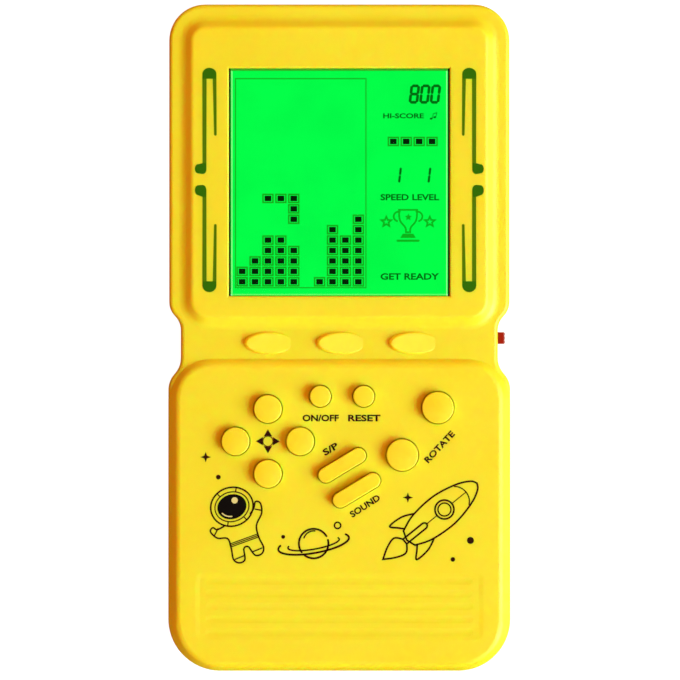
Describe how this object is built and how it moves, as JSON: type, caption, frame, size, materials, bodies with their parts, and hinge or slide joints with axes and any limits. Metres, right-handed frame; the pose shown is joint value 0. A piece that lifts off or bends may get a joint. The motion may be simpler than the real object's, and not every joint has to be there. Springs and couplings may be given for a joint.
{
  "type": "handheld lcd game",
  "caption": "Handheld LCD game: waisted two-half case with a backlit screen, sprung round and pill buttons, a side slide switch, and a battery cover that slides off the back.",
  "frame": {"origin": "middle of the back, on the plane that the game lies on", "axes": "+X to the right and +Y towards the screen end as the player sees it, +Z out of the face"},
  "size_m": [0.0974, 0.19, 0.0246],
  "materials": {
    "case_plastic": "satin yellow moulded ABS",
    "button_plastic": "satin yellow moulded ABS",
    "red_plastic": "glossy red",
    "clear_lens": "clear acrylic",
    "lcd_glass": "green backlit liquid crystal cell",
    "polarizer_film": "thin grey film",
    "light_guide": "clear acrylic with etched dots",
    "white_sheet": "matt white film",
    "led_package": "white lamp bodies",
    "white_plastic": "white moulded frame",
    "black_tape": "black double-sided tape",
    "contact_rubber": "striped contact rubber",
    "keypad_rubber": "translucent grey silicone",
    "carbon_rubber": "matt black carbon rubber",
    "circuit_board": "green solder mask",
    "black_epoxy": "black moulded resin",
    "capacitor_sleeve": "dark blue sleeve",
    "brass": "bright brass",
    "ceramic": "off-white ceramic with a silvered face",
    "nickel_plate": "bright nickel plated steel",
    "zinc_screws": "bright zinc plated",
    "cell_wrap": "plain coloured wrap over a metal can",
    "red_wire": "red insulation",
    "black_wire": "black insulation"
  },
  "bodies": {
    "case": {"aa_cell_1": "cell_wrap", "aa_cell_2": "cell_wrap", "backlight_leds": "led_package", "battery_wire_minus": "black_wire", "battery_wire_plus": "red_wire", "board_resistors": "black_epoxy", "board_screws": "zinc_screws", "chip_blob": "black_epoxy", "contact_bridge": "nickel_plate", "contact_negative": "nickel_plate", "contact_positive": "nickel_plate", "driver_transistor": "black_epoxy", "filter_capacitor": "capacitor_sleeve", "front_polarizer": "polarizer_film", "front_shell": "case_plastic", "keypad_membrane": "keypad_rubber", "lcd_frame": "white_plastic", "lcd_glass": "lcd_glass", "lens_tape": "black_tape", "light_guide": "light_guide", "main_board": "circuit_board", "rear_polarizer": "polarizer_film", "rear_shell": "case_plastic", "reflector_sheet": "white_sheet", "screen_lens": "clear_lens", "shell_screws": "zinc_screws", "sounder_ceramic": "ceramic", "sounder_disc": "brass", "sounder_wire_inner": "red_wire", "sounder_wire_outer": "black_wire", "switch_housing": "nickel_plate", "zebra_strip": "contact_rubber"},
    "battery_door": {"battery_cover": "case_plastic"},
    "switch_slider": {"switch_knob": "red_plastic"},
    "key_down": {"button_down": "button_plastic", "carbon_pill_down": "carbon_rubber"},
    "key_left": {"button_left": "button_plastic", "carbon_pill_left": "carbon_rubber"},
    "key_on_off": {"button_on_off": "button_plastic", "carbon_pill_on_off": "carbon_rubber"},
    "key_reset": {"button_reset": "button_plastic", "carbon_pill_reset": "carbon_rubber"},
    "key_right": {"button_right": "button_plastic", "carbon_pill_right": "carbon_rubber"},
    "key_rotate_lower": {"button_rotate_lower": "button_plastic", "carbon_pill_rotate_lower": "carbon_rubber"},
    "key_rotate_upper": {"button_rotate_upper": "button_plastic", "carbon_pill_rotate_upper": "carbon_rubber"},
    "key_sound": {"button_sound": "button_plastic", "carbon_pill_sound": "carbon_rubber"},
    "key_start": {"button_start": "button_plastic", "carbon_pill_start": "carbon_rubber"},
    "key_up": {"button_up": "button_plastic", "carbon_pill_up": "carbon_rubber"}
  },
  "joints": [
    {"name": "cover_slide", "type": "slide", "parent": "case", "child": "battery_door", "axis": [0, -1, 0], "range_m": [0, 0.045]},
    {"name": "switch_slide", "type": "slide", "parent": "case", "child": "switch_slider", "axis": [0, -1, 0], "range_m": [0, 0.002]},
    {"name": "press_down", "type": "slide", "parent": "case", "child": "key_down", "axis": [0, 0, -1], "range_m": [0, 0.0012], "stiffness_N_per_m": 400, "springref_m": -0.0005, "deforming": ["keypad_membrane"]},
    {"name": "press_left", "type": "slide", "parent": "case", "child": "key_left", "axis": [0, 0, -1], "range_m": [0, 0.0012], "stiffness_N_per_m": 400, "springref_m": -0.0005, "deforming": ["keypad_membrane"]},
    {"name": "press_on_off", "type": "slide", "parent": "case", "child": "key_on_off", "axis": [0, 0, -1], "range_m": [0, 0.0012], "stiffness_N_per_m": 400, "springref_m": -0.0005, "deforming": ["keypad_membrane"]},
    {"name": "press_reset", "type": "slide", "parent": "case", "child": "key_reset", "axis": [0, 0, -1], "range_m": [0, 0.0012], "stiffness_N_per_m": 400, "springref_m": -0.0005, "deforming": ["keypad_membrane"]},
    {"name": "press_right", "type": "slide", "parent": "case", "child": "key_right", "axis": [0, 0, -1], "range_m": [0, 0.0012], "stiffness_N_per_m": 400, "springref_m": -0.0005, "deforming": ["keypad_membrane"]},
    {"name": "press_rotate_lower", "type": "slide", "parent": "case", "child": "key_rotate_lower", "axis": [0, 0, -1], "range_m": [0, 0.0012], "stiffness_N_per_m": 400, "springref_m": -0.0005, "deforming": ["keypad_membrane"]},
    {"name": "press_rotate_upper", "type": "slide", "parent": "case", "child": "key_rotate_upper", "axis": [0, 0, -1], "range_m": [0, 0.0012], "stiffness_N_per_m": 400, "springref_m": -0.0005, "deforming": ["keypad_membrane"]},
    {"name": "press_sound", "type": "slide", "parent": "case", "child": "key_sound", "axis": [0, 0, -1], "range_m": [0, 0.0012], "stiffness_N_per_m": 400, "springref_m": -0.0005, "deforming": ["keypad_membrane"]},
    {"name": "press_start", "type": "slide", "parent": "case", "child": "key_start", "axis": [0, 0, -1], "range_m": [0, 0.0012], "stiffness_N_per_m": 400, "springref_m": -0.0005, "deforming": ["keypad_membrane"]},
    {"name": "press_up", "type": "slide", "parent": "case", "child": "key_up", "axis": [0, 0, -1], "range_m": [0, 0.0012], "stiffness_N_per_m": 400, "springref_m": -0.0005, "deforming": ["keypad_membrane"]}
  ]
}
